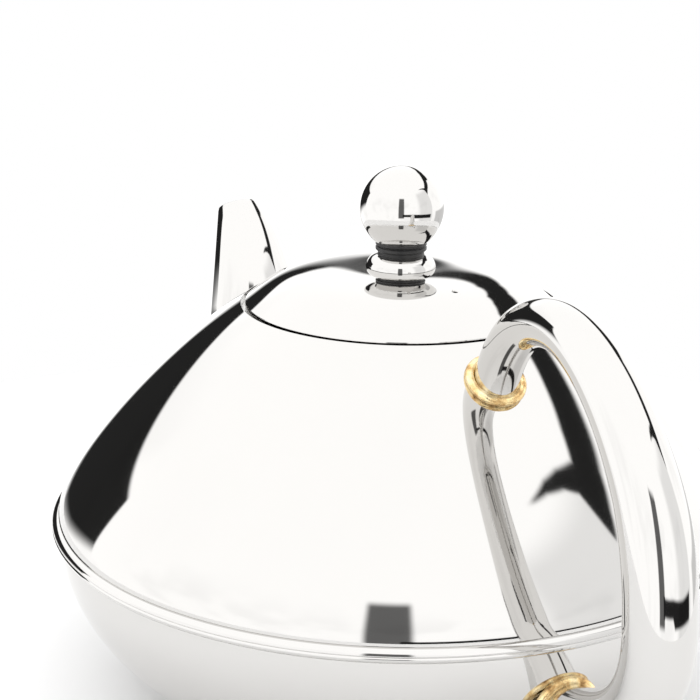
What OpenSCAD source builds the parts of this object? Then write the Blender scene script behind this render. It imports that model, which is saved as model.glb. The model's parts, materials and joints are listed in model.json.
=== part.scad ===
// Double-walled polished steel teapot with a lift-off lid, a ball knob on a
// black insulating spacer, a tube handle with brass rings and a tea infuser.
// Millimetres, +Z up. The origin is the centre of the flat base, on the surface
// that the pot stands on. The spout points along +X and the handle along -X.

/* [Body] */
// Height of the lid's rim above the table
rim_z = 104; // [96:1:112]
// Radius of the dome where it meets the lid
mouth_r = 40.7; // [40.4:0.1:41]
// Radius of the shells at the belly
belly_r = 88.2; // [86:0.2:90]
// Drop from the lid's rim to the dome's lower edge
dome_drop = 54.6; // [50:0.2:58]
// Thickness of the outer sheet
sheet_t = 0.9; // [0.7:0.1:1.2]
// Thickness of the inner vessel's sheet
inner_t = 0.7; // [0.5:0.1:1]
// Air gap between the two walls at the belly
wall_gap = 4.6; // [3:0.2:6]

/* [Belly bead] */
// Outer radius of the moulding round the belly
bead_r = 90; // [89:0.2:91]
// Half height of the moulding
bead_h = 1.9; // [1.5:0.1:2.4]

/* [Base] */
// Radius of the flat base
base_r = 50; // [44:1:52]

/* [Lid] */
// Radius of the lid
lid_r = 39.6; // [39.6:0.1:40.2]
// Height of the lid's crown above its rim
lid_rise = 8.7; // [8:0.1:11]
// Diameter of the steam vent
vent_d = 1.7; // [1.2:0.1:2.4]

/* [Knob] */
// Radius of the ball
ball_r = 10.8; // [9:0.1:12]
// Radius of the black spacer's ridges
spacer_r = 6.5; // [5.8:0.1:7]
// Radius of the steel foot under the spacer
foot_r = 8.9; // [8:0.1:10]

/* [Handle] */
// Radius of the tube at its upper end
handle_r0 = 5.4; // [5:0.1:6]
// Radius of the tube at the grip
handle_r1 = 7.7; // [7:0.1:8]
// Wall thickness of the tube
handle_t = 1; // [0.8:0.1:1.4]
// Wire radius of the brass rings
ring_w = 1.15; // [1.1:0.1:1.6]

/* [Spout] */
// Radius of the mouth of the spout
tip_r = 6.4; // [6:0.1:7]
// Wall thickness of the spout
spout_t = 0.9; // [0.8:0.1:1.2]
// Half width of the spout at its root
root_w = 17; // [15:0.2:17]

/* [Infuser] */
// Inner radius of the basket
basket_r = 33; // [32.8:0.1:33.2]
// Height of the basket's floor above the table
basket_z = 28; // [24:1:40]
// Radius of the holes in the basket's floor
basket_hole_r = 0.9; // [0.7:0.1:1.1]
// Width of the slots in the basket's wall
slot_w = 1; // [0.6:0.1:1.2]

/* [Hidden] */

$fn = 96;
curve_n = 24;          // segments along each profile curve
zr = rim_z;            // plane of the lid's rim
dome_z = zr - dome_drop;      // lower edge of the dome
bowl_z = dome_z - 2 * bead_h; // upper edge of the bowl
bead_z = (dome_z + bowl_z) / 2;

// ---- curves -----------------------------------------------------------
function bez(p, t) = pow(1 - t, 3) * p[0] + 3 * pow(1 - t, 2) * t * p[1]
                   + 3 * (1 - t) * t * t * p[2] + pow(t, 3) * p[3];
function bez_d(p, t) = 3 * pow(1 - t, 2) * (p[1] - p[0])
                     + 6 * (1 - t) * t * (p[2] - p[1]) + 3 * t * t * (p[3] - p[2]);
function unit(v) = v / norm(v);
function left(v) = [-v[1], v[0]];

// a curve's points, moved sideways by d (to the left of its direction)
function side(p, d, n = curve_n) =
    [for (i = [0:n]) bez(p, i / n) + d * left(unit(bez_d(p, i / n)))];
function rev(a) = [for (i = [len(a) - 1:-1:0]) a[i]];
function smooth(x) = let (c = min(1, max(0, x))) c * c * (3 - 2 * c);

// profiles, as [radius, height]
dome_p = [[mouth_r, zr - 0.35], [59.3, zr - 12.1], [belly_r, zr - 44], [belly_r, dome_z]];
bowl_p = [[belly_r, bowl_z], [belly_r, bowl_z - 15.6], [76, 10], [base_r + 3, 3]];
lid_p  = [[0, zr + lid_rise], [27, zr + lid_rise + 1.2], [30, zr + 7.6], [lid_r, zr]];
in_dome_p = [[36, zr - 6.65], [56, zr - 17], [belly_r - wall_gap - sheet_t, zr - 44],
             [belly_r - wall_gap - sheet_t, bead_z]];
in_bowl_p = [[belly_r - wall_gap - sheet_t, bead_z], [belly_r - wall_gap - sheet_t, 30],
             [70, 12], [44, 11]];

// sheet of thickness t on the inner side of a profile
module sheet(p, t) { polygon(concat(side(p, 0), rev(side(p, -t)))); }

// ---- handle path, in its plane: [distance from the pot's axis, height] --
hp = [ [[50.2, zr - 9.2], [53.4, zr + 2.4], [62, zr + 12.7], [77, zr + 12.7]],
       [[77, zr + 12.7], [92, zr + 12.7], [107, zr - 1.5], [114, zr - 14]],
       [[114, zr - 14], [118.4, zr - 21.9], [120.6, zr - 32], [120.6, zr - 42]],
       [[120.6, zr - 42], [120.6, zr - 60], [103, zr - 72], [82.5, zr - 74]] ];
hp_n = 10;             // steps in each of the four stretches
function hp_at(k) = let (s = min(3, floor(k / hp_n))) bez(hp[s], (k - s * hp_n) / hp_n);
function hp_dir(k) = let (s = min(3, floor(k / hp_n))) unit(bez_d(hp[s], (k - s * hp_n) / hp_n));
function handle_r(k) = let (x = k / (4 * hp_n))
    handle_r0 + (handle_r1 - handle_r0) * smooth((x - 0.12) / 0.5)
              - (handle_r1 - 6.2) * smooth((x - 0.72) / 0.28);

// ---- spout edges: the curve nearest the pot and the curve furthest out ---
sp_in  = [ [[109.8, zr + 6], [103.5, zr + 2.5], [93, zr - 8], [88.5, zr - 21]],
           [[88.5, zr - 21], [86.5, zr - 27], [83, zr - 33], [75.5, zr - 37.5]] ];
sp_out = [ [[120.8, zr - 0.4], [116, zr - 7.8], [114.8, zr - 22], [113.5, zr - 32]],
           [[113.5, zr - 32], [112, zr - 43], [101, zr - 52], [85.8, zr - 54]] ];
sp_n = 12;
function sp_e(c, k) = let (s = min(1, floor(k / sp_n))) bez(c[s], (k - s * sp_n) / sp_n);
function sp_w(k) = tip_r + (root_w - tip_r) * pow(sin(90 * min(1, k / (1.9 * sp_n))), 1.05);
root_c = (sp_in[1][3] + sp_out[1][3]) / 2;                  // centre of the root
root_d = unit(left(sp_out[1][3] - sp_in[1][3]));            // direction out of the pot
root_a = atan2(root_d[1], root_d[0]);

// closed tube wall through a list of outer rings and a list of inner rings
module tube_wall(outer, inner) {
    n = len(outer); m = len(outer[0]);
    pts = concat([for (r = outer) for (p = r) p], [for (r = inner) for (p = r) p]);
    o = n * m;
    faces = concat(
        [for (i = [0:n - 2]) for (j = [0:m - 1]) [i * m + j, i * m + (j + 1) % m, (i + 1) * m + (j + 1) % m]],
        [for (i = [0:n - 2]) for (j = [0:m - 1]) [i * m + j, (i + 1) * m + (j + 1) % m, (i + 1) * m + j]],
        [for (i = [0:n - 2]) for (j = [0:m - 1]) [o + i * m + j, o + (i + 1) * m + (j + 1) % m, o + i * m + (j + 1) % m]],
        [for (i = [0:n - 2]) for (j = [0:m - 1]) [o + i * m + j, o + (i + 1) * m + j, o + (i + 1) * m + (j + 1) % m]],
        [for (j = [0:m - 1]) [j, o + (j + 1) % m, (j + 1) % m]],
        [for (j = [0:m - 1]) [j, o + j, o + (j + 1) % m]],
        [for (j = [0:m - 1]) [(n - 1) * m + j, (n - 1) * m + (j + 1) % m, o + (n - 1) * m + (j + 1) % m]],
        [for (j = [0:m - 1]) [(n - 1) * m + j, o + (n - 1) * m + (j + 1) % m, o + (n - 1) * m + j]]);
    polyhedron(pts, faces, convexity = 6);
}

// places children at a point in the vertical plane, with +Z along the angle a above the horizontal
module aim(p, a) { translate([p[0], 0, p[1]]) rotate([0, 90 - a, 0]) children(); }

steel = [0.82, 0.82, 0.83]; satin = [0.7, 0.7, 0.7]; brass = [0.83, 0.62, 0.25]; black = [0.05, 0.05, 0.05];

// ---- the pot ------------------------------------------------------------
module upper_shell() color(steel) difference() {
    // the sheet's edge is turned down round the mouth
    rotate_extrude() polygon(concat(side(dome_p, 0), rev([for (i = [1:curve_n]) side(dome_p, -sheet_t)[i]]),
        [[mouth_r + 0.8, zr - 1.9], [mouth_r + 0.8, zr - 2.35], [mouth_r, zr - 2.35]]));
    aim(root_c, root_a) cylinder(r = 8.5, h = 24, center = true);
    mirror([1, 0, 0]) aim(hp_at(0), up_a) cylinder(r = 1.6, h = 12, center = true);
}
module lower_shell() color(steel) difference() {
    rotate_extrude() sheet(bowl_p, sheet_t);
    mirror([1, 0, 0]) aim(hp_at(4 * hp_n), low_a) cylinder(r = 1.6, h = 14, center = true);
}
// half-round moulding with a fine groove round its middle
module belly_bead() color(steel) rotate_extrude() difference() {
    translate([bead_r - bead_h, bead_z]) circle(r = bead_h - 0.02);
    translate([0, bead_z - 3]) square([bead_r - bead_h - 0.4, 6]);
    translate([bead_r + 0.05, bead_z]) circle(r = 0.3, $fn = 16);
}
// ring that joins the two walls and carries the lid and the infuser
module mouth_collar() color(satin) rotate_extrude() polygon([
    [34.6, zr - 6.6], [36.2, zr - 6.6], [38.2, zr - 6.6], [38.2, zr - 3], [mouth_r + 0.7, zr - 3],
    [mouth_r + 0.7, zr - 2.4], [37.5, zr - 2.4], [37.5, zr - 6], [34.6, zr - 6]]);
module inner_dome() color(satin) difference() {
    rotate_extrude() sheet(in_dome_p, inner_t);
    aim(root_c, root_a) cylinder(r = 8.35, h = 36, center = true);
}
module inner_bowl() color(satin) rotate_extrude()
    polygon(concat(side(in_bowl_p, 0), [[0, 11]], [[0, 11 + inner_t]], rev(side(in_bowl_p, -inner_t))));
module base_plate() color(satin) rotate_extrude()
    polygon([[0, 0], [base_r - 0.8, 0], [base_r, 0.8], [base_r, 2.6], [0, 2.6]]);
module foot_ring() color(steel) rotate_extrude() difference() {
    translate([base_r + 0.05, 0.5]) square([3.6, 2.4]);
    translate([base_r + 6.2, 0]) circle(r = 3.2);
}

// ---- spout ----------------------------------------------------------------
sp_m = 32;
function sp_ring(k, t) = let (a = sp_e(sp_in, k), b = sp_e(sp_out, k), c = (a + b) / 2,
        h = norm(b - a) / 2 - t, d = unit(b - a), w = sp_w(k) - t)
    [for (j = [0:sp_m - 1]) let (q = 360 * j / sp_m)
        [c[0] + h * d[0] * cos(q), w * sin(q), c[1] + h * d[1] * cos(q)]];
module spout() color(steel)
    tube_wall([for (k = [0:2 * sp_n]) sp_ring(k, 0)], [for (k = [0:2 * sp_n]) sp_ring(k, spout_t)]);
// tube that carries the tea from the inner vessel across the air gap
module spout_duct() color(satin) difference() {
    aim(root_c, root_a) translate([0, 0, -6.6]) cylinder(r = 8.3, h = 8.6);
    aim(root_c, root_a) translate([0, 0, -7.6]) cylinder(r = 7.6, h = 10.6);
}
module spout_strainer() color(satin) aim(root_c, root_a) translate([0, 0, -6.4]) difference() {
    cylinder(r = 7.55, h = 0.6);
    translate([0, 0, -1]) cylinder(r = 0.9, h = 3, $fn = 24);
    for (n = [[6, 2.8], [12, 5.4]]) for (i = [0:n[0] - 1])
        rotate([0, 0, 360 * i / n[0]]) translate([n[1], 0, -1]) cylinder(r = 0.9, h = 3, $fn = 24);
}

// ---- handle -----------------------------------------------------------------
up_a = atan2(hp_dir(0)[1], hp_dir(0)[0]);                    // tube's direction at its upper end
low_a = atan2(-hp_dir(4 * hp_n)[1], -hp_dir(4 * hp_n)[0]);   // and out of the pot at its lower end
up_n = 55;             // slope of the dome's outward normal at the upper ring
h_m = 24;
function h_ring(k, t) = let (c = hp_at(k), d = hp_dir(k), r = handle_r(k) - t, n = left(d))
    [for (j = [0:h_m - 1]) let (q = 360 * j / h_m)
        [-(c[0] + r * n[0] * cos(q)), -r * sin(q), c[1] + r * n[1] * cos(q)]];
module handle_tube() color(steel)
    tube_wall([for (k = [0:4 * hp_n]) h_ring(k, 0)], [for (k = [0:4 * hp_n]) h_ring(k, handle_t)]);
module wire_ring(r) { rotate_extrude() translate([r, 0]) circle(r = ring_w); }
module handle_upper_ring() color(brass) mirror([1, 0, 0])
    aim([50.6, zr - 7], up_n) wire_ring(handle_r0 + 0.95);
module handle_lower_ring() color(brass) mirror([1, 0, 0])
    aim(hp_at(4 * hp_n) + [4.8, 0.1], low_a - 10) wire_ring(7.5);
module boss(r, l) { difference() { cylinder(r = r, h = l); translate([0, 0, -1]) cylinder(r = 1.55, h = l - 1); } }
module handle_upper_boss() color(satin) mirror([1, 0, 0])
    aim(hp_at(0), up_a) translate([0, 0, 2.6]) boss(3, 4.8);
module handle_lower_boss() color(satin) mirror([1, 0, 0])
    aim(hp_at(4 * hp_n), low_a) translate([0, 0, 3.8]) boss(3.6, 6);
// pan head screw, its head at z < 0
module screw(l) { translate([0, 0, -0.2]) cylinder(r = 1.5, h = l); translate([0, 0, -1.6]) cylinder(r = 2.9, h = 1.5); }
module handle_upper_screw() color(satin) mirror([1, 0, 0])
    aim(hp_at(0), up_a) translate([0, 0, -2.4]) screw(7.4);
module handle_lower_screw() color(satin) mirror([1, 0, 0])
    aim(hp_at(4 * hp_n), low_a) translate([0, 0, -0.3]) screw(8.2);

// ---- lid --------------------------------------------------------------------
vent_at = [-24.97, -2.35, zr];
module lid_shell() color(steel) difference() {
    // the sheet's edge is turned down at the rim
    rotate_extrude() polygon(concat(side(lid_p, 0), [[lid_r, zr - 2.2], [lid_r - 0.9, zr - 2.2], [lid_r - 0.9, zr - 0.8]],
        rev([for (i = [0:curve_n - 1]) side(lid_p, -sheet_t)[i]])));
    translate([0, 0, zr]) cylinder(r = 2.1, h = 20, $fn = 48);
    translate(vent_at) cylinder(d = vent_d, h = 12, $fn = 32);
}
module lid_liner() color(satin) difference() {
    translate([0, 0, zr - 2.1]) cylinder(r = lid_r - 0.95, h = 0.7);
    translate(vent_at) cylinder(d = vent_d, h = 20, center = true, $fn = 32);
}
module lid_skirt() color(satin) rotate_extrude() union() {
    translate([basket_r - 1.4, zr - 12]) square([0.8, 9.85]);
    translate([basket_r - 0.6, zr - 2.7]) square([2, 0.55]);
}

// ---- knob -------------------------------------------------------------------
foot_z = zr + lid_rise;   // the foot's underside follows the crown of the lid
foot_h = 3.4;
ball_z = zr + 24;
module knob_foot() color(steel) rotate_extrude() difference() {
    union() {
        // quarter-round bun
        intersection() {
            translate([foot_r - 3, foot_z]) scale([1, foot_h / 3]) circle(r = 3);
            translate([0, foot_z]) square([foot_r + 1, foot_h]);
        }
        translate([2.1, foot_z]) square([foot_r - 5.1, foot_h]);
    }
    translate([0, foot_z - 1]) square([2.1, 6]);
    polygon(concat(side(lid_p, 0.02), [[lid_r, zr - 4], [0, zr - 4]]));
}
module knob_lower_spacer() color(black) rotate_extrude()
    polygon([[2.1, foot_z + foot_h], [5.8, foot_z + foot_h], [5.9, foot_z + foot_h + 0.2],
             [5.9, foot_z + foot_h + 0.9], [6.2, foot_z + foot_h + 1.2], [2.1, foot_z + foot_h + 1.2]]);
module knob_upper_spacer() color(black) rotate_extrude() difference() {
    translate([2.1, foot_z + foot_h + 1.2]) union() {
        square([spacer_r - 2.1, 1]);
        translate([0, 0.9]) square([spacer_r - 2.5, 0.5]);
        translate([0, 1.3]) square([spacer_r - 2.1, 1]);
    }
    translate([0, ball_z]) circle(r = ball_r + 0.03, $fn = 160);
}
module knob_ball() color(steel) difference() {
    translate([0, 0, ball_z]) sphere(r = ball_r, $fn = 96);
    translate([0, 0, ball_z - ball_r - 1]) cylinder(r = 2.04, h = 10, $fn = 48);
}
module knob_stud() color(satin) translate([0, 0, zr + lid_rise - 5.2]) cylinder(r = 2, h = 18.5, $fn = 48);
module knob_washer() color(satin) difference() {
    translate([0, 0, zr + lid_rise - sheet_t - 1]) cylinder(r = 5, h = 0.9);
    translate([0, 0, zr]) cylinder(r = 2.15, h = 20, $fn = 48);
}
module knob_nut() color(satin) difference() {
    translate([0, 0, zr + lid_rise - sheet_t - 4.3]) cylinder(r = 4.04, h = 3.2, $fn = 6);
    translate([0, 0, zr]) cylinder(r = 2.04, h = 20, $fn = 48);
}

// ---- infuser ------------------------------------------------------------------
basket_top = zr - 5.8;
module infuser_rim() color(satin) rotate_extrude()
    polygon([[basket_r + 0.62, basket_top - 2.4], [basket_r + 1.2, basket_top - 2.4], [basket_r + 1.2, basket_top],
             [37.1, basket_top], [37.1, basket_top + 0.8], [basket_r + 0.62, basket_top + 0.8]]);
module infuser_basket() color(satin) difference() {
    translate([0, 0, basket_z]) cylinder(r = basket_r + 0.6, h = basket_top + 0.8 - basket_z);
    translate([0, 0, basket_z - 1]) cylinder(r = basket_r, h = 100);
    // rows of upright slots, each cut passing through both sides
    for (row = [0:3]) for (i = [0:9])
        translate([0, 0, basket_z + 10 + 13 * row]) rotate([0, 0, 18 * (i + (row % 2) / 2)])
            cube([80, slot_w, 9], center = true);
}
module infuser_base() color(satin) difference() {
    translate([0, 0, basket_z]) cylinder(r = basket_r - 0.05, h = 0.6);
    for (n = [[6, 8], [12, 16], [18, 24]]) for (i = [0:n[0] - 1])
        rotate([0, 0, 360 * i / n[0]]) translate([n[1], 0, basket_z - 1]) cylinder(r = basket_hole_r, h = 4, $fn = 16);
}
// small wire loop inside the basket's rim to lift it by
module infuser_finger_loop() color(satin) translate([0, basket_r - 0.7, zr - 19.4])
    rotate([90, 0, 0]) rotate_extrude() translate([5, 0]) circle(r = 0.8, $fn = 24);

upper_shell();
lower_shell();
belly_bead();
mouth_collar();
inner_dome();
inner_bowl();
base_plate();
foot_ring();
spout();
spout_duct();
spout_strainer();
handle_tube();
handle_upper_ring();
handle_lower_ring();
handle_upper_boss();
handle_lower_boss();
handle_upper_screw();
handle_lower_screw();
lid_shell();
lid_liner();
lid_skirt();
knob_foot();
knob_lower_spacer();
knob_upper_spacer();
knob_ball();
knob_stud();
knob_washer();
knob_nut();
infuser_rim();
infuser_basket();
infuser_base();
infuser_finger_loop();
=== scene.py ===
import json
import math

import bpy
import bmesh
import numpy as np
from mathutils import Matrix, Vector


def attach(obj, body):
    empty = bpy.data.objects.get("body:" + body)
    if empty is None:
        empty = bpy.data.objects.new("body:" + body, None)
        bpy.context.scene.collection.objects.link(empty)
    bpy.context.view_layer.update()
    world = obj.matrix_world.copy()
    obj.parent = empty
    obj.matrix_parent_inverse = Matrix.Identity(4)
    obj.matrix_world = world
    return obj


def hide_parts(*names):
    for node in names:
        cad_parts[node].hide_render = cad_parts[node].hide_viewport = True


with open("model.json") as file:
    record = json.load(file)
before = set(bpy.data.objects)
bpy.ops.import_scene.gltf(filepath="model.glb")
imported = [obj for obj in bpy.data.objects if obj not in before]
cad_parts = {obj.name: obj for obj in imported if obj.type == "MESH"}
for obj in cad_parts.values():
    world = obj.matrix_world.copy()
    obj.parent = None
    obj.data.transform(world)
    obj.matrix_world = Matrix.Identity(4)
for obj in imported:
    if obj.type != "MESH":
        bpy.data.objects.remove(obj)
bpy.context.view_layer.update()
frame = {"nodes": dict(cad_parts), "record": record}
NODES = frame["nodes"]

MM = 0.001
ZR = 104.0                      # plane of the lid's rim, mm
SHEET = 0.9

# ------------------------------------------------------------------ curves
def bez(p, t):
    p = np.asarray(p, float); t = np.asarray(t, float)[..., None]
    return (1 - t) ** 3 * p[0] + 3 * (1 - t) ** 2 * t * p[1] + 3 * (1 - t) * t * t * p[2] + t ** 3 * p[3]


def bez_d(p, t):
    p = np.asarray(p, float); t = np.asarray(t, float)[..., None]
    d = 3 * (1 - t) ** 2 * (p[1] - p[0]) + 6 * (1 - t) * t * (p[2] - p[1]) + 3 * t * t * (p[3] - p[2])
    return d / np.linalg.norm(d, axis=-1)[..., None]


def side(p, d, n, t0=0.0, t1=1.0):
    t = np.linspace(t0, t1, n)
    q, v = bez(p, t), bez_d(p, t)
    return q + d * np.stack([-v[:, 1], v[:, 0]], -1)


def smooth(x):
    c = min(1.0, max(0.0, x))
    return c * c * (3 - 2 * c)


def soften(pts, i, r, n=6):
    """Rounds corner i of a closed outline, reaching r along it both ways."""
    pts = [np.array(p, float) for p in pts]
    m = len(pts)

    def walk(step):
        left, j = r, i
        while True:
            a, b = pts[j % m], pts[(j + step) % m]
            d = np.linalg.norm(b - a)
            if d > left:
                return a + (b - a) * left / d, (j + step)
            left -= d
            j += step

    a, ja = walk(-1)
    b, jb = walk(1)
    c = pts[i]
    arc = [(1 - t) ** 2 * a + 2 * (1 - t) * t * c + t * t * b for t in np.linspace(0, 1, n)]
    keep = []
    k = jb
    while k % m != (ja + 1) % m:
        keep.append(pts[k % m]); k += 1
    return keep + arc


def corner(pts, p):
    """Index of the outline's point nearest p."""
    return int(np.argmin([np.hypot(q[0] - p[0], q[1] - p[1]) for q in pts]))


def rounded(pts, corners):
    for p, r in corners:
        pts = soften(pts, corner(pts, p), r)
    return pts


# ------------------------------------------------------------------ meshes
def new_mesh(name, verts, faces, sharp=38):
    me = bpy.data.meshes.new(name)
    me.from_pydata([tuple(v) for v in verts], [], faces)
    me.validate()
    bm = bmesh.new(); bm.from_mesh(me)
    bmesh.ops.remove_doubles(bm, verts=bm.verts, dist=1e-7)
    bmesh.ops.recalc_face_normals(bm, faces=bm.faces)
    bm.to_mesh(me); bm.free()
    me.shade_smooth()
    me.set_sharp_from_angle(angle=math.radians(sharp))
    o = bpy.data.objects.new(name, me)
    bpy.context.scene.collection.objects.link(o)
    return o


def revolve(name, outline, seg=192, sharp=38, centre=(0, 0), tilt=None):
    """Turns a closed outline of (radius, height) in mm about Z."""
    pts = [(max(0.0, float(r)), float(z)) for r, z in outline]
    verts, rings = [], []
    for r, z in pts:
        if r < 1e-6:
            rings.append([len(verts)] * seg); verts.append((0, 0, z * MM))
        else:
            rings.append(list(range(len(verts), len(verts) + seg)))
            for j in range(seg):
                a = 2 * math.pi * j / seg
                verts.append((r * math.cos(a) * MM, r * math.sin(a) * MM, z * MM))
    faces = []
    n = len(pts)
    for i in range(n):
        A, B = rings[i], rings[(i + 1) % n]
        if len(set(A)) == 1 and len(set(B)) == 1:
            continue
        for j in range(seg):
            k = (j + 1) % seg
            f = []
            for v in (A[j], A[k], B[k], B[j]):
                if v not in f:
                    f.append(v)
            if len(f) > 2:
                faces.append(f)
    return new_mesh(name, verts, faces, sharp)


def tube(name, outer, inner, sharp=50):
    """A closed tube wall from outer rings and inner rings, each a list of rings of points in mm."""
    loops = list(outer) + list(inner)[::-1]
    m = len(loops[0])
    verts = [tuple(c * MM for c in p) for ring in loops for p in ring]
    faces = []
    n = len(loops)
    for i in range(n):
        a, b = i * m, ((i + 1) % n) * m
        for j in range(m):
            k = (j + 1) % m
            faces.append((a + j, a + k, b + k, b + j))
    return new_mesh(name, verts, faces, sharp)


# ------------------------------------------------------------------ materials
def mat(name):
    m = bpy.data.materials.new(name)
    m.use_nodes = True
    nt = m.node_tree
    return m, nt, nt.nodes["Principled BSDF"]


def node(nt, kind, **kw):
    n = nt.nodes.new(kind)
    for k, v in kw.items():
        setattr(n, k, v)
    return n


def ramp(nt, src, stops):
    r = node(nt, "ShaderNodeValToRGB")
    nt.links.new(src, r.inputs["Fac"])
    e = r.color_ramp.elements
    while len(e) > len(stops):
        e.remove(e[-1])
    while len(e) < len(stops):
        e.new(0.5)
    for x, (p, c) in zip(e, stops):
        x.position = p
        x.color = (c, c, c, 1) if not isinstance(c, tuple) else c + (1,)
    return r.outputs["Color"]


def noise(nt, vec, scale, detail=4.0, rough=0.5):
    n = node(nt, "ShaderNodeTexNoise")
    n.inputs["Scale"].default_value = scale
    n.inputs["Detail"].default_value = detail
    n.inputs["Roughness"].default_value = rough
    nt.links.new(vec, n.inputs["Vector"])
    return n.outputs["Fac"]


def mapped(nt, scale=(1, 1, 1)):
    tc = node(nt, "ShaderNodeTexCoord")
    mp = node(nt, "ShaderNodeMapping")
    mp.inputs["Scale"].default_value = scale
    nt.links.new(tc.outputs["Object"], mp.inputs["Vector"])
    return mp.outputs["Vector"]


def mix_value(nt, a, b, op="ADD"):
    n = node(nt, "ShaderNodeMath", operation=op)
    for s, v in zip(n.inputs, (a, b)):
        if isinstance(v, (int, float)):
            s.default_value = v
        else:
            nt.links.new(v, s)
    return n.outputs["Value"]


def bump(nt, bsdf, height, strength, distance, chain=None):
    b = node(nt, "ShaderNodeBump")
    b.inputs["Strength"].default_value = strength
    b.inputs["Distance"].default_value = distance
    nt.links.new(height, b.inputs["Height"])
    if chain is not None:
        nt.links.new(chain, b.inputs["Normal"])
    if bsdf is not None:
        nt.links.new(b.outputs["Normal"], bsdf.inputs["Normal"])
    return b.outputs["Normal"]


def polished_steel(name="polished_steel_mat", tint=(0.665, 0.655, 0.64), base_rough=0.035):
    """Mirror polish: faint hand smudges and hairline polishing marks in the roughness, and the slight waviness of pressed sheet."""
    m, nt, b = mat(name)
    b.inputs["Metallic"].default_value = 1.0
    v = mapped(nt)
    smudge = noise(nt, v, 26.0, 5.0, 0.55)
    col = ramp(nt, smudge, [(0.3, tuple(c * 0.985 for c in tint)), (0.7, tint)])
    nt.links.new(col, b.inputs["Base Color"])
    hair = noise(nt, mapped(nt, (90, 90, 2600)), 1.0, 3.0, 0.6)
    hr = ramp(nt, hair, [(0.45, 0.0), (0.75, 0.012)])
    sm = ramp(nt, smudge, [(0.42, base_rough), (0.62, base_rough + 0.012), (0.78, base_rough + 0.045)])
    rough = mix_value(nt, hr, sm)
    nt.links.new(rough, b.inputs["Roughness"])
    wave = noise(nt, v, 34.0, 1.0, 0.4)
    bump(nt, b, wave, 0.05, 0.0006)
    return m


def satin_steel(name="satin_steel_mat"):
    """Rolled and brushed sheet: fine lines across the height, soft sheen."""
    m, nt, b = mat(name)
    b.inputs["Metallic"].default_value = 1.0
    lines = noise(nt, mapped(nt, (60, 60, 3200)), 1.0, 4.0, 0.6)
    cloud = noise(nt, mapped(nt), 40.0, 4.0, 0.5)
    nt.links.new(ramp(nt, cloud, [(0.3, (0.60, 0.60, 0.59)), (0.75, (0.70, 0.70, 0.69))]), b.inputs["Base Color"])
    rg = ramp(nt, lines, [(0.3, 0.20), (0.7, 0.34)])
    nt.links.new(rg, b.inputs["Roughness"])
    bump(nt, b, lines, 0.18, 0.0001)
    return m


def brass_mat(name="brass_mat"):
    """Warm polished brass with brown patches of tarnish and a slightly uneven surface."""
    m, nt, b = mat(name)
    b.inputs["Metallic"].default_value = 1.0
    v = mapped(nt)
    patch = noise(nt, v, 330.0, 5.0, 0.62)
    fine = noise(nt, v, 1500.0, 3.0, 0.6)
    col = ramp(nt, patch, [(0.34, (0.30, 0.16, 0.06)), (0.45, (0.70, 0.46, 0.20)), (0.56, (0.90, 0.70, 0.37)), (0.72, (0.97, 0.83, 0.55))])
    nt.links.new(col, b.inputs["Base Color"])
    nt.links.new(ramp(nt, patch, [(0.35, 0.42), (0.6, 0.16)]), b.inputs["Roughness"])
    h = mix_value(nt, patch, mix_value(nt, fine, 0.25, "MULTIPLY"))
    bump(nt, b, h, 0.5, 0.0004)
    return m


def polymer_mat(name="black_polymer_mat"):
    """Black heat-resistant plastic: fine moulded grain in the roughness and the bump, and a faint cloudy unevenness in
    the black.
    """
    m, nt, b = mat(name)
    v = mapped(nt)
    grain = noise(nt, v, 2600.0, 3.0, 0.6)
    cloud = noise(nt, v, 260.0, 4.0, 0.5)
    nt.links.new(ramp(nt, cloud, [(0.35, (0.010, 0.010, 0.011)), (0.75, (0.030, 0.029, 0.028))]), b.inputs["Base Color"])
    nt.links.new(ramp(nt, grain, [(0.3, 0.34), (0.7, 0.55)]), b.inputs["Roughness"])
    b.inputs["IOR"].default_value = 1.5
    bump(nt, b, grain, 0.35, 0.00012)
    return m


STEEL = polished_steel()
SATIN = satin_steel()
BRASS = brass_mat()
BLACK = polymer_mat()


def put(o, body, slot, material, *nodes):
    o.data.materials.clear()
    o.data.materials.append(material)
    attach(o, body)
    if nodes:
        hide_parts(*nodes)
    return o


# ------------------------------------------------------------------ pot shells
DOME = [[40.7, ZR - 0.35], [59.3, ZR - 12.1], [88.2, ZR - 44], [88.2, ZR - 54.6]]
BOWL = [[88.2, ZR - 58.4], [88.2, ZR - 74.0], [76, 10], [53, 3]]
LID = [[0, ZR + 8.7], [27, ZR + 9.9], [30, ZR + 7.6], [39.6, ZR]]
BEAD_Z = ZR - 56.5

dome = list(side(DOME, 0, 130)) + list(side(DOME, -SHEET, 40, 0.04, 1.0))[::-1] + \
    [(41.5, ZR - 1.9), (41.5, ZR - 2.35), (40.7, ZR - 2.35)]
dome = rounded(dome, [((40.7, ZR - 0.35), 0.2)])
upper = put(revolve("body_upper_shell", dome), "pot", "polished_steel", STEEL, "upper_shell")

bowl = list(side(BOWL, 0, 130)) + list(side(BOWL, -SHEET, 40))[::-1]
lower = put(revolve("body_lower_shell", bowl), "pot", "polished_steel", STEEL, "lower_shell")

# half-round moulding with a fine groove round its middle
bead = []
for a in np.linspace(-96, 96, 45):
    r = 1.88
    if abs(a) < 12:
        r -= 0.32 * (0.5 + 0.5 * math.cos(math.radians(a * 15)))
    bead.append((88.1 + r * math.cos(math.radians(a)), BEAD_Z + r * math.sin(math.radians(a))))
bead += [(87.75, BEAD_Z + 1.8), (87.75, BEAD_Z - 1.8)]
put(revolve("belly_moulding", bead, sharp=60), "pot", "polished_steel", STEEL, "belly_bead")

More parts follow.
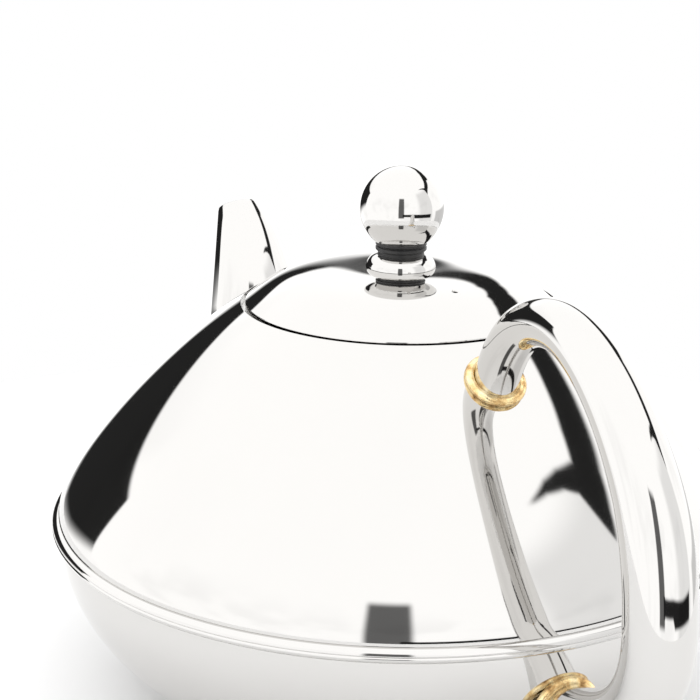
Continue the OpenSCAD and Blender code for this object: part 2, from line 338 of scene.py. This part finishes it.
foot = [(50.05, 0.5)]
foot = [(50.05, 2.9), (50.05, 0.5)] + \
    [(56.2 - 3.2 * math.cos(math.radians(a)), 3.2 * math.sin(math.radians(a))) for a in np.linspace(9, 62, 14)] + \
    [(53.65, 2.9)]
foot = [(50.05, 2.9), (50.05, 0.5), (53.04, 0.5)] + \
    [(56.2 - 3.2 * math.cos(math.radians(a)), 3.2 * math.sin(math.radians(a))) for a in np.linspace(9.5, 36, 10)] + \
    [(53.65, 2.9)]
put(revolve("foot_cove_ring", rounded(foot, [((50.05, 0.5), 0.3), ((53.04, 0.5), 0.3)])), "pot", "polished_steel", STEEL, "foot_ring")

# ------------------------------------------------------------------ spout
SP_IN = [[[109.8, ZR + 6], [103.5, ZR + 2.5], [93, ZR - 8], [88.5, ZR - 21]],
         [[88.5, ZR - 21], [86.5, ZR - 27], [83, ZR - 33], [75.5, ZR - 37.5]]]
SP_OUT = [[[120.8, ZR - 0.4], [116, ZR - 7.8], [114.8, ZR - 22], [113.5, ZR - 32]],
          [[113.5, ZR - 32], [112, ZR - 43], [101, ZR - 52], [85.8, ZR - 54]]]
TIP_R, ROOT_W, SPOUT_T = 6.4, 17.0, 0.9


def sp_point(c, k):                       # k runs from 0 at the mouth to 2 at the root
    s = min(1, int(math.floor(k)))
    return bez(c[s], np.array([k - s]))[0]


def sp_width(k):
    return TIP_R + (ROOT_W - TIP_R) * math.sin(math.radians(90 * min(1.0, k / 1.9))) ** 1.05


def sp_ring(k, t, push=0.0, m=96):
    a, b = sp_point(SP_IN, k), sp_point(SP_OUT, k)
    d = (b - a) / np.linalg.norm(b - a)
    n = np.array([-d[1], d[0]])           # out of the mouth
    c = (a + b) / 2 + n * push
    h, w = np.linalg.norm(b - a) / 2 - t, sp_width(k) - t
    return [(c[0] + h * d[0] * math.cos(q), w * math.sin(q), c[1] + h * d[1] * math.cos(q))
            for q in (2 * math.pi * j / m for j in range(m))]


ks = np.concatenate([np.linspace(2, 0.12, 70), np.linspace(0.10, 0.04, 4)])
lip = [sp_ring(0.0, SPOUT_T / 2 * (1 - math.cos(a)), -0.5 + SPOUT_T / 2 * math.sin(a)) for a in np.linspace(0, math.pi, 9)]
outer = [sp_ring(k, 0.0) for k in ks] + lip[:5]
inner = [sp_ring(k, SPOUT_T) for k in ks] + lip[:4:-1]
put(tube("spout_horn", outer, inner), "pot", "polished_steel", STEEL, "spout")

# ------------------------------------------------------------------ handle
HP = [[[50.2, ZR - 9.2], [53.4, ZR + 2.4], [62, ZR + 12.7], [77, ZR + 12.7]],
      [[77, ZR + 12.7], [92, ZR + 12.7], [107, ZR - 1.5], [114, ZR - 14]],
      [[114, ZR - 14], [118.4, ZR - 21.9], [120.6, ZR - 32], [120.6, ZR - 42]],
      [[120.6, ZR - 42], [120.6, ZR - 60], [103, ZR - 72], [82.5, ZR - 74]]]
R0, R1, HT = 5.4, 7.7, 1.0


def hp_at(x):                             # x runs from 0 at the top end to 4
    s = min(3, int(math.floor(x)))
    t = np.array([x - s])
    return bez(HP[s], t)[0], bez_d(HP[s], t)[0]


def handle_r(x):
    x = x / 4
    return R0 + (R1 - R0) * smooth((x - 0.12) / 0.5) - (R1 - 6.2) * smooth((x - 0.72) / 0.28)


def h_ring(x, t, m=72):
    c, d = hp_at(x)
    r = handle_r(x) - t
    n = np.array([-d[1], d[0]])
    return [(-(c[0] + r * n[0] * math.cos(q)), -r * math.sin(q), c[1] + r * n[1] * math.cos(q))
            for q in (2 * math.pi * j / m for j in range(m))]


xs = np.linspace(0, 4, 181)
put(tube("handle_bent_tube", [h_ring(x, 0) for x in xs], [h_ring(x, HT) for x in xs[::4]]), "pot", "polished_steel", STEEL, "handle_tube")


# ------------------------------------------------------------------ brass rings
def wire_ring(name, r, w, at, angle, seed):
    """A soldered wire ring, a little uneven, at a point of the vertical plane, its axis at an angle above the horizontal."""
    m, n = 128, 28
    ca, sa = math.cos(math.radians(90 - angle)), math.sin(math.radians(90 - angle))
    verts, faces = [], []
    for i in range(m):
        a = 2 * math.pi * i / m
        ww = w * (1 - 0.035 * (1 + math.sin(5 * a + seed)) / 2 - 0.02 * (1 + math.sin(13 * a + 2 * seed)) / 2)
        for j in range(n):
            b = 2 * math.pi * j / n
            x, y, z = (r + ww * math.cos(b)) * math.cos(a), (r + ww * math.cos(b)) * math.sin(a), ww * math.sin(b)
            X, Z = x * ca + z * sa, -x * sa + z * ca
            verts.append((-(at[0] + X) * MM, y * MM, (at[1] + Z) * MM))
    for i in range(m):
        for j in range(n):
            a, b = i * n, ((i + 1) % m) * n
            faces.append((a + j, b + j, b + (j + 1) % n, a + (j + 1) % n))
    return new_mesh(name, verts, faces, 80)


put(wire_ring("handle_brass_ring_upper", 6.35, 1.15, (50.6, ZR - 7.0), 55, 0.4), "pot", "brass", BRASS, "handle_upper_ring")
low = hp_at(4.0)
low_a = math.degrees(math.atan2(-low[1][1], -low[1][0]))
put(wire_ring("handle_brass_ring_lower", 7.5, 1.15, (low[0][0] + 4.8, low[0][1] + 0.1), low_a - 10, 1.7), "pot", "brass", BRASS, "handle_lower_ring")

# ------------------------------------------------------------------ lid
lid = list(side(LID, 0, 120)) + [(39.6, ZR - 2.2), (38.7, ZR - 2.2), (38.7, ZR - 0.8)] + \
    list(side(LID, -SHEET, 40, 0.0, 0.96))[::-1]
lid = rounded(lid, [((39.6, ZR), 0.25), ((39.6, ZR - 2.2), 0.25)])
# the outline starts on the axis: turn it so that the two axis points are its ends
i0 = int(np.argmin([abs(p[0]) + abs(p[1] - (ZR + 8.7)) for p in lid]))
lid = lid[i0:] + lid[:i0]
lid_shell = revolve("lid_dome", lid)


def cut(o, cutter):
    md = o.modifiers.new("cut", "BOOLEAN")
    md.operation = "DIFFERENCE"; md.solver = "EXACT"; md.object = cutter
    dg = bpy.context.evaluated_depsgraph_get()
    me = bpy.data.meshes.new_from_object(o.evaluated_get(dg))
    o.modifiers.clear()
    old = o.data
    o.data = me
    bpy.data.meshes.remove(old)
    bpy.data.objects.remove(cutter)


def true_normals(o, curve, t_n=4000):
    """Gives the loops on a turned surface its exact normal, so that a hole cut in it leaves no mark in the reflections."""
    t = np.linspace(0, 1, t_n)
    q, d = bez(curve, t), bez_d(curve, t)
    me = o.data
    out = []
    for poly in me.polygons:
        fn = poly.normal
        for li in poly.loop_indices:
            v = me.vertices[me.loops[li].vertex_index].co
            r = math.hypot(v.x, v.y) / MM
            i = int(np.argmin((q[:, 0] - r) ** 2 + (q[:, 1] - v.z / MM) ** 2))
            if (q[i, 0] - r) ** 2 + (q[i, 1] - v.z / MM) ** 2 < 0.0025:
                n2 = (-d[i, 1], d[i, 0])
                a = math.atan2(v.y, v.x)
                nn = Vector((n2[0] * math.cos(a), n2[0] * math.sin(a), n2[1]))
                if nn.dot(fn) > 0.9:
                    out.append(nn); continue
            out.append(Vector((0, 0, 0)))
    me.normals_split_custom_set([tuple(n) for n in out])


def cylinder(name, r, z0, z1, x=0.0, y=0.0, seg=40):
    verts = [((x + r * math.cos(2 * math.pi * j / seg)) * MM, (y + r * math.sin(2 * math.pi * j / seg)) * MM, z * MM)
             for z in (z0, z1) for j in range(seg)]
    faces = [(j, (j + 1) % seg, seg + (j + 1) % seg, seg + j) for j in range(seg)]
    faces += [tuple(range(seg))[::-1], tuple(range(seg, 2 * seg))]
    return new_mesh(name, verts, faces)


cut(lid_shell, cylinder("vent_cutter", 0.85, ZR + 2, ZR + 14, -24.97, -2.35))
true_normals(lid_shell, LID)
put(lid_shell, "lid", "polished_steel", STEEL, "lid_shell")

# ------------------------------------------------------------------ knob
FZ, FH, BZ, BR = ZR + 8.7, 3.4, ZR + 24.0, 10.8
crown = [p for p in side(LID, 0.02, 400) if 2.1 < p[0] < 8.9]
bun = [(2.1, float(crown[0][1]))] + [(float(p[0]), float(p[1])) for p in crown[::8]]
bun += [(5.9 + 3.0 * math.cos(a), FZ + 3.4 * math.sin(a)) for a in np.linspace(0.10, math.pi / 2, 18)]
bun += [(2.1, FZ + FH)]
put(revolve("knob_steel_foot", bun, 128), "lid", "polished_steel", STEEL, "knob_foot")

z0 = FZ + FH
neck = [(2.1, z0), (5.8, z0), (5.9, z0 + 0.2), (5.9, z0 + 0.9), (6.2, z0 + 1.2), (2.1, z0 + 1.2)]
put(revolve("knob_spacer_neck", rounded(neck, [((6.2, z0 + 1.2), 0.12)]), 128), "lid", "black_polymer", BLACK, "knob_lower_spacer")

z1 = z0 + 1.2
ring = [(2.1, z1), (6.3, z1), (6.5, z1 + 0.2), (6.5, z1 + 0.8), (6.35, z1 + 0.97), (6.1, z1 + 1.05), (6.05, z1 + 1.15), (6.1, z1 + 1.25),
        (6.35, z1 + 1.35), (6.5, z1 + 1.55)]
top = z1 + 2.3
r_top = math.sqrt((BR + 0.03) ** 2 - (BZ - top) ** 2)
ring += [(6.5, top - 0.25), (min(6.45, r_top + 0.0), top)] if r_top < 6.45 else [(6.5, top)]
ball_seat = [((BR + 0.03) * math.sin(a), BZ - (BR + 0.03) * math.cos(a)) for a in np.linspace(math.asin(min(6.4, r_top) / (BR + 0.03)), math.asin(2.1 / (BR + 0.03)), 14)]
ring += ball_seat
put(revolve("knob_spacer_ring", ring, 128), "lid", "black_polymer", BLACK, "knob_upper_spacer")

ball = [(BR * math.sin(a), BZ - BR * math.cos(a)) for a in np.linspace(math.asin(2.04 / BR), math.pi, 110)]
ball[-1] = (0.0, BZ + BR)
ball = ball + [(0.0, BZ - 2.6), (2.04, BZ - 2.6)]
put(revolve("knob_polished_ball", ball, 144), "lid", "polished_steel", STEEL, "knob_ball")

# ------------------------------------------------------------------ remaining nodes keep their solids
SLOT_MAT = {"polished_steel": STEEL, "satin_steel": SATIN, "brass": BRASS, "black_polymer": BLACK}
slots = {s["node"]: s["material_slot"] for s in frame["record"]["subparts"]}
for name, o in NODES.items():
    m = SLOT_MAT[slots[name]]
    if len(o.material_slots) == 0:
        o.data.materials.append(m)
    for s in o.material_slots:
        s.material = m

# ------------------------------------------------------------------ floor, light, camera
CAM_AZ = 153.5                  # direction of the camera seen from the pot, degrees from +X


def pale_floor():
    m, nt, b = mat("pale_floor_mat")
    g = noise(nt, mapped(nt), 3.0, 3.0, 0.5)
    nt.links.new(ramp(nt, g, [(0.3, (0.90, 0.90, 0.90)), (0.7, (0.93, 0.93, 0.93))]), b.inputs["Base Color"])
    b.inputs["Roughness"].default_value = 0.6
    b.inputs["Specular IOR Level"].default_value = 0.1
    seg = 96
    top_r = 0.30        # the table top
    verts = [(0, 0, -0.0001)] + [(top_r * math.cos(2 * math.pi * j / seg), top_r * math.sin(2 * math.pi * j / seg), -0.0001) for j in range(seg)]
    faces = [(0, 1 + j, 1 + (j + 1) % seg) for j in range(seg)]
    me = bpy.data.meshes.new("pale_floor"); me.from_pydata(verts, [], faces)
    o = bpy.data.objects.new("pale_floor", me)
    bpy.context.scene.collection.objects.link(o)
    me.materials.append(m)
    return o


pale_floor()


def studio():
    """White studio: everything is a soft white, with the dark gaps that polished metal shows."""
    w = bpy.data.worlds.new("studio")
    bpy.context.scene.world = w
    w.use_nodes = True
    nt = w.node_tree
    nt.nodes.clear()
    out = node(nt, "ShaderNodeOutputWorld")
    tc = node(nt, "ShaderNodeTexCoord")
    rot = node(nt, "ShaderNodeVectorRotate", rotation_type="Z_AXIS")
    rot.inputs["Angle"].default_value = math.radians(-CAM_AZ)
    nt.links.new(tc.outputs["Generated"], rot.inputs["Vector"])
    sep = node(nt, "ShaderNodeSeparateXYZ")
    nt.links.new(rot.outputs["Vector"], sep.inputs["Vector"])

    def M(op, a, b=0.0):
        return mix_value(nt, a, b, op)

    deg = 180 / math.pi
    el = M("MULTIPLY", M("ARCSINE", sep.outputs["Z"]), deg)
    az = M("MULTIPLY", M("ARCTAN2", sep.outputs["Y"], sep.outputs["X"]), deg)     # 0 towards the camera, + to its right
    az360 = M("MODULO", M("ADD", az, 360.0), 360.0)                               # 0..360, 180 is straight behind the pot

    def step(x, at, soft):
        """0 below at, 1 above it, over soft degrees."""
        mr = node(nt, "ShaderNodeMapRange", interpolation_type="SMOOTHSTEP")
        for nm, v in (("From Min", -soft / 2), ("From Max", soft / 2), ("To Min", 0.0), ("To Max", 1.0)):
            mr.inputs[nm].default_value = v
        nt.links.new(M("SUBTRACT", x, at), mr.inputs["Value"])
        return mr.outputs["Result"]

    def inv(x):
        return M("SUBTRACT", 1.0, x)

    def curve(x, x0, x1, y0, y1, pts):
        c = node(nt, "ShaderNodeFloatCurve")
        nt.links.new(M("DIVIDE", M("SUBTRACT", x, x0), x1 - x0), c.inputs["Value"])
        cp = c.mapping.curves[0].points
        pts = [((a - x0) / (x1 - x0), (b - y0) / (y1 - y0)) for a, b in pts]
        cp[0].location = pts[0]; cp[1].location = pts[-1]
        for p in pts[1:-1]:
            cp.new(*p)
        for p in cp:
            p.handle_type = "VECTOR"
        c.mapping.use_clip = False
        c.mapping.update()
        return M("ADD", M("MULTIPLY", c.outputs["Value"], y1 - y0), y0)

    # dark gap between the backdrop and the ceiling panel, all along the back
    top = curve(az360, 80, 260, 0, 60, [(80, 41), (90, 41.2), (103, 44), (115, 45), (132, 45.6), (145, 43), (157, 38.7), (170, 27.5), (179, 15), (184, 14), (190, 16.5), (205, 18), (247, 18.5), (260, 18)])
    bot = curve(az360, 80, 260, -20, 60, [(80, 28.5), (89, 29), (95, 32.5), (102.5, 35), (115, 36.2), (132, 36.8), (140, 31), (155, 29), (165, 23.7), (172, 17.5), (179, 12.5), (190, 9), (200, 3), (207, -9), (212, -12), (226, -8), (246, 0.5), (260, 5)])
    left = step(az360, 181.0, 8)
    low = M("ADD", M("MULTIPLY", inv(left), step(el, bot, 2.2)), M("MULTIPLY", left, step(el, M("SUBTRACT", bot, 1.0), 9.0)))
    band = M("MULTIPLY", inv(step(el, top, 1.6)), low)
    band = M("MULTIPLY", band, M("MULTIPLY", step(az360, 89.0, 1.5), inv(step(az360, 246.5, 1.2))))
    # its upper edge runs on as a thin wedge over the right wall
    w_top = curve(az360, 60, 110, 30, 60, [(60, 51), (68, 49.4), (80, 48.3), (87.5, 46.2), (95, 42.8), (110, 36)])
    w_bot = curve(az360, 60, 110, 30, 60, [(60, 51), (68, 49.2), (77.5, 46.8), (85, 43.6), (90, 39.5), (110, 34)])
    wedge = M("MULTIPLY", M("MULTIPLY", inv(step(el, w_top, 1.4)), step(el, w_bot, 1.4)), M("MULTIPLY", step(az360, 68.5, 6), inv(step(az360, 100, 2))))
    band = M("MAXIMUM", band, wedge)
    # the camera on its stand
    cam = M("MULTIPLY", M("MULTIPLY", step(az, -9.0, 3), inv(step(az, 6.0, 3))), M("MULTIPLY", step(el, -17, 3), inv(step(el, 35, 4))))
    # the dark floor beyond the table's front edge
    edge = M("MULTIPLY", M("MULTIPLY", step(az, 3.0, 2), inv(step(az, 84.0, 2))), M("MULTIPLY", inv(step(el, curve(az, -20, 100, -20, 10, [(-20, -7), (30, -7), (60, -9), (100, -10)]), 2)),
                step(el, curve(az, -20, 100, -30, 10, [(-20, -13), (30, -13.5), (36, -17), (100, -17)]), 2)))
    side_r = M("MULTIPLY", M("MULTIPLY", step(az, 102.0, 6), inv(step(az, 156.0, 8))), M("MULTIPLY", step(el, -26, 4), inv(step(el, -7, 3))))
    dark = M("MINIMUM", M("ADD", M("MAXIMUM", band, M("MAXIMUM", edge, M("MULTIPLY", side_r, 0.45))), M("MULTIPLY", cam, 0.9)), 1.0)
    # a slightly greyer right wall
    wall = M("MULTIPLY", M("MULTIPLY", step(az, 48, 14), inv(step(az, 89, 2))), inv(step(el, 42, 10)))
    level = M("SUBTRACT", 1.0, M("MULTIPLY", wall, 0.24))
    # soft folds in the white cloth, low down
    folds = node(nt, "ShaderNodeMapRange", interpolation_type="SMOOTHSTEP")
    nt.links.new(noise(nt, rot.outputs["Vector"], 2.2, 2.0, 0.5), folds.inputs["Value"])
    for nm, v in (("From Min", 0.46), ("From Max", 0.66), ("To Min", 0.0), ("To Max", 0.08)):
        folds.inputs[nm].default_value = v
    level = M("MULTIPLY", level, M("SUBTRACT", 1.0, M("MULTIPLY", folds.outputs["Result"], inv(step(el, 24, 24)))))
    level = M("MULTIPLY", level, inv(M("MULTIPLY", dark, 0.985)))
    bg = node(nt, "ShaderNodeBackground")
    nt.links.new(M("MULTIPLY", level, 1.50), bg.inputs["Strength"])
    bg.inputs["Color"].default_value = (1.0, 1.0, 1.0, 1)
    seen = node(nt, "ShaderNodeBackground")
    seen.inputs["Color"].default_value = (1.0, 1.0, 1.0, 1)
    lp = node(nt, "ShaderNodeLightPath")
    mx = node(nt, "ShaderNodeMixShader")
    nt.links.new(lp.outputs["Is Camera Ray"], mx.inputs["Fac"])
    nt.links.new(bg.outputs["Background"], mx.inputs[1])
    nt.links.new(seen.outputs["Background"], mx.inputs[2])
    nt.links.new(mx.outputs["Shader"], out.inputs["Surface"])


studio()
bpy.context.scene.view_settings.view_transform = "Standard"


def camera():
    """Low three-quarter view from behind the handle, looking down at the lid."""
    pitch, roll, yaw = 0.28309, 0.01282, 0.02951
    dist, rise = 0.42863, 0.11113
    sy, cy, sp, cp = math.sin(yaw), math.cos(yaw), math.sin(pitch), math.cos(pitch)
    fwd = Vector((-sy * cp, cy * cp, -sp))
    right = Vector((cy, sy, 0))
    up = right.cross(fwd)
    r2 = math.cos(roll) * right + math.sin(roll) * up
    u2 = -math.sin(roll) * right + math.cos(roll) * up
    turn = Matrix.Rotation(math.radians(CAM_AZ + 90), 3, "Z")
    at = turn @ Vector((0, -dist, 0)) + Vector((0, 0, ZR * MM + rise))
    r2, u2, f2 = turn @ r2, turn @ u2, turn @ fwd
    rot = Matrix((r2, u2, -f2)).transposed().to_4x4()
    cd = bpy.data.cameras.new("camera")
    cd.sensor_width = 36.0
    cd.lens = 1727.4 * 36.0 / 700.0
    cd.clip_start, cd.clip_end = 0.01, 50
    o = bpy.data.objects.new("camera", cd)
    o.matrix_world = Matrix.Translation(at) @ rot
    bpy.context.scene.collection.objects.link(o)
    bpy.context.scene.camera = o


camera()

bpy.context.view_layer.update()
